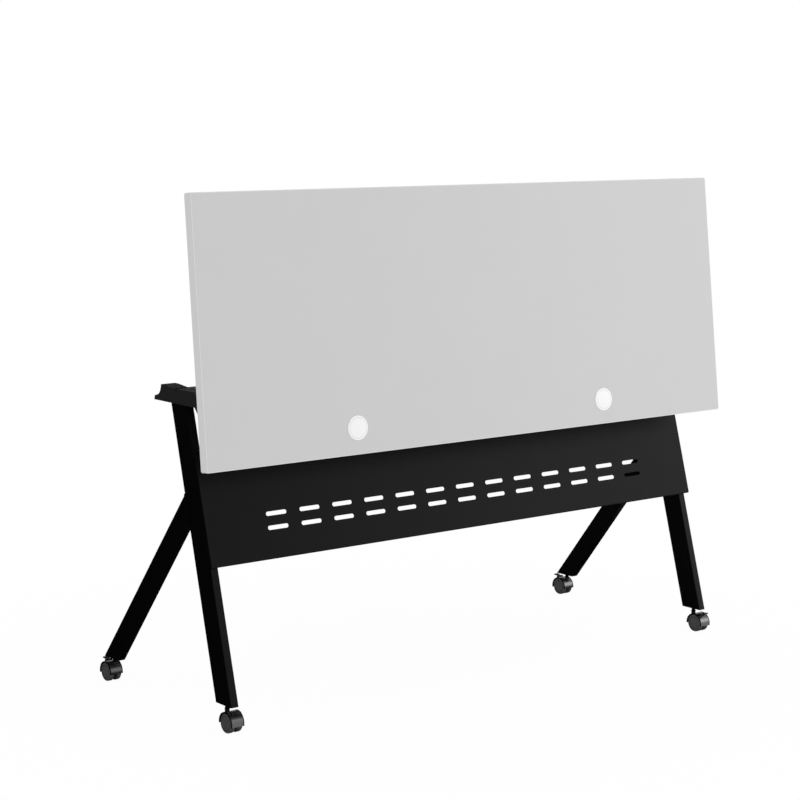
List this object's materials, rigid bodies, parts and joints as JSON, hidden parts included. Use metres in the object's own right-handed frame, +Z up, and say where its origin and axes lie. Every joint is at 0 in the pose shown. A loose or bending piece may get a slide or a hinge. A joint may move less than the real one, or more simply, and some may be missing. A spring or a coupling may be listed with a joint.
{
  "type": "flip top training table",
  "caption": "Training table on twin-wheel casters whose worktop tips up about a rear pivot for storage, with Y-shaped steel legs, a slotted modesty panel and cable grommets.",
  "frame": {"origin": "on the floor, under the middle of the table's bounding box", "axes": "+Z up, +X along the length of the table, -Y the side that the modesty panel and the tipped up work surface face"},
  "size_m": [1.56, 0.5817, 1.172],
  "materials": {
    "laminate": "light grey melamine faced board, fine matt texture",
    "edge_band": "light grey edge banding",
    "black_coat": "black powder coat, fine texture, semi matt",
    "cast_black": "black coated casting, semi matt",
    "white_plastic": "white moulded plastic, satin gloss",
    "caster_plastic": "black moulded nylon, glossy",
    "latch_plastic": "black moulded plastic",
    "wheel_plastic": "dark grey moulded wheel",
    "zinc_steel": "bright zinc plated",
    "rubber": "matt black rubber",
    "nylon": "dark nylon"
  },
  "bodies": {
    "frame": {"left_rear_post": "black_coat", "left_front_leg": "black_coat", "left_rear_plug": "latch_plastic", "left_front_plug": "latch_plastic", "left_hinge_head": "cast_black", "left_pivot_pin": "zinc_steel", "left_support_pad": "rubber", "left_lower_panel_bolt": "zinc_steel", "left_upper_panel_bolt": "zinc_steel", "left_front_caster_stem": "black_coat", "left_rear_caster_stem": "black_coat", "right_rear_post": "black_coat", "right_front_leg": "black_coat", "right_rear_plug": "latch_plastic", "right_front_plug": "latch_plastic", "right_hinge_head": "cast_black", "right_pivot_pin": "zinc_steel", "right_support_pad": "rubber", "right_lower_panel_bolt": "zinc_steel", "right_upper_panel_bolt": "zinc_steel", "right_front_caster_stem": "black_coat", "right_rear_caster_stem": "black_coat", "cross_beam": "black_coat", "modesty_panel": "black_coat"},
    "top": {"worktop_board": "laminate", "edge_band": "edge_band", "left_grommet_sleeve": "white_plastic", "left_top_bracket": "black_coat", "left_pivot_bush": "nylon", "left_latch_pin": "zinc_steel", "left_latch_spring": "zinc_steel", "right_grommet_sleeve": "white_plastic", "right_top_bracket": "black_coat", "right_pivot_bush": "nylon", "right_latch_pin": "zinc_steel", "right_latch_spring": "zinc_steel"},
    "left_latch": {"left_latch_lever": "latch_plastic"},
    "left_cap": {"left_grommet_cap": "white_plastic"},
    "right_latch": {"right_latch_lever": "latch_plastic"},
    "right_cap": {"right_grommet_cap": "white_plastic"},
    "left_front_caster": {"left_front_caster_hood": "caster_plastic", "left_front_caster_axle": "zinc_steel"},
    "left_front_wheel_a": {"left_front_wheel_a": "wheel_plastic"},
    "left_front_wheel_b": {"left_front_wheel_b": "wheel_plastic"},
    "left_front_brake": {"left_front_brake_lever": "caster_plastic"},
    "left_rear_caster": {"left_rear_caster_hood": "caster_plastic", "left_rear_caster_axle": "zinc_steel"},
    "left_rear_wheel_a": {"left_rear_wheel_a": "wheel_plastic"},
    "left_rear_wheel_b": {"left_rear_wheel_b": "wheel_plastic"},
    "left_rear_brake": {"left_rear_brake_lever": "caster_plastic"},
    "right_front_caster": {"right_front_caster_hood": "caster_plastic", "right_front_caster_axle": "zinc_steel"},
    "right_front_wheel_a": {"right_front_wheel_a": "wheel_plastic"},
    "right_front_wheel_b": {"right_front_wheel_b": "wheel_plastic"},
    "right_front_brake": {"right_front_brake_lever": "caster_plastic"},
    "right_rear_caster": {"right_rear_caster_hood": "caster_plastic", "right_rear_caster_axle": "zinc_steel"},
    "right_rear_wheel_a": {"right_rear_wheel_a": "wheel_plastic"},
    "right_rear_wheel_b": {"right_rear_wheel_b": "wheel_plastic"},
    "right_rear_brake": {"right_rear_brake_lever": "caster_plastic"}
  },
  "joints": [
    {"name": "top_flip", "type": "hinge", "parent": "frame", "child": "top", "pos_m": [0, -0.181, 0.686], "axis": [-1, 0, 0], "range_deg": [0, 84.3]},
    {"name": "left_latch_pull", "type": "hinge", "parent": "top", "child": "left_latch", "pos_m": [-0.713, -0.18998, 0.92834], "axis": [1, 0, 0], "range_deg": [0, 22], "stiffness_Nm_per_rad": 0.05, "springref_deg": -22.92},
    {"name": "left_cap_lift", "type": "slide", "parent": "top", "child": "left_cap", "axis": [0, -0.9951, 0.0993], "range_m": [0, 0.03]},
    {"name": "right_latch_pull", "type": "hinge", "parent": "top", "child": "right_latch", "pos_m": [0.713, -0.18998, 0.92834], "axis": [1, 0, 0], "range_deg": [0, 22], "stiffness_Nm_per_rad": 0.05, "springref_deg": -22.92},
    {"name": "right_cap_lift", "type": "slide", "parent": "top", "child": "right_cap", "axis": [0, -0.9951, 0.0993], "range_m": [0, 0.03]},
    {"name": "left_front_swivel", "type": "hinge", "parent": "frame", "child": "left_front_caster", "pos_m": [-0.719, 0.24371, 0.045], "axis": [0, 0, 1], "continuous": true},
    {"name": "left_front_wheel_a_roll", "type": "hinge", "parent": "left_front_caster", "child": "left_front_wheel_a", "pos_m": [-0.719, 0.26071, 0.022], "axis": [1, 0, 0], "continuous": true},
    {"name": "left_front_wheel_b_roll", "type": "hinge", "parent": "left_front_caster", "child": "left_front_wheel_b", "pos_m": [-0.719, 0.26071, 0.022], "axis": [1, 0, 0], "continuous": true},
    {"name": "left_front_brake_press", "type": "hinge", "parent": "left_front_caster", "child": "left_front_brake", "pos_m": [-0.719, 0.27277, 0.04469], "axis": [-1, 0, 0], "range_deg": [0, 20]},
    {"name": "left_rear_swivel", "type": "hinge", "parent": "frame", "child": "left_rear_caster", "pos_m": [-0.719, -0.2438, 0.045], "axis": [0, 0, 1], "continuous": true},
    {"name": "left_rear_wheel_a_roll", "type": "hinge", "parent": "left_rear_caster", "child": "left_rear_wheel_a", "pos_m": [-0.719, -0.2608, 0.022], "axis": [1, 0, 0], "continuous": true},
    {"name": "left_rear_wheel_b_roll", "type": "hinge", "parent": "left_rear_caster", "child": "left_rear_wheel_b", "pos_m": [-0.719, -0.2608, 0.022], "axis": [1, 0, 0], "continuous": true},
    {"name": "left_rear_brake_press", "type": "hinge", "parent": "left_rear_caster", "child": "left_rear_brake", "pos_m": [-0.719, -0.27286, 0.04469], "axis": [1, 0, 0], "range_deg": [0, 20]},
    {"name": "right_front_swivel", "type": "hinge", "parent": "frame", "child": "right_front_caster", "pos_m": [0.719, 0.24371, 0.045], "axis": [0, 0, 1], "continuous": true},
    {"name": "right_front_wheel_a_roll", "type": "hinge", "parent": "right_front_caster", "child": "right_front_wheel_a", "pos_m": [0.719, 0.26071, 0.022], "axis": [1, 0, 0], "continuous": true},
    {"name": "right_front_wheel_b_roll", "type": "hinge", "parent": "right_front_caster", "child": "right_front_wheel_b", "pos_m": [0.719, 0.26071, 0.022], "axis": [1, 0, 0], "continuous": true},
    {"name": "right_front_brake_press", "type": "hinge", "parent": "right_front_caster", "child": "right_front_brake", "pos_m": [0.719, 0.27277, 0.04469], "axis": [-1, 0, 0], "range_deg": [0, 20]},
    {"name": "right_rear_swivel", "type": "hinge", "parent": "frame", "child": "right_rear_caster", "pos_m": [0.719, -0.2438, 0.045], "axis": [0, 0, 1], "continuous": true},
    {"name": "right_rear_wheel_a_roll", "type": "hinge", "parent": "right_rear_caster", "child": "right_rear_wheel_a", "pos_m": [0.719, -0.2608, 0.022], "axis": [1, 0, 0], "continuous": true},
    {"name": "right_rear_wheel_b_roll", "type": "hinge", "parent": "right_rear_caster", "child": "right_rear_wheel_b", "pos_m": [0.719, -0.2608, 0.022], "axis": [1, 0, 0], "continuous": true},
    {"name": "right_rear_brake_press", "type": "hinge", "parent": "right_rear_caster", "child": "right_rear_brake", "pos_m": [0.719, -0.27286, 0.04469], "axis": [1, 0, 0], "range_deg": [0, 20]}
  ]
}
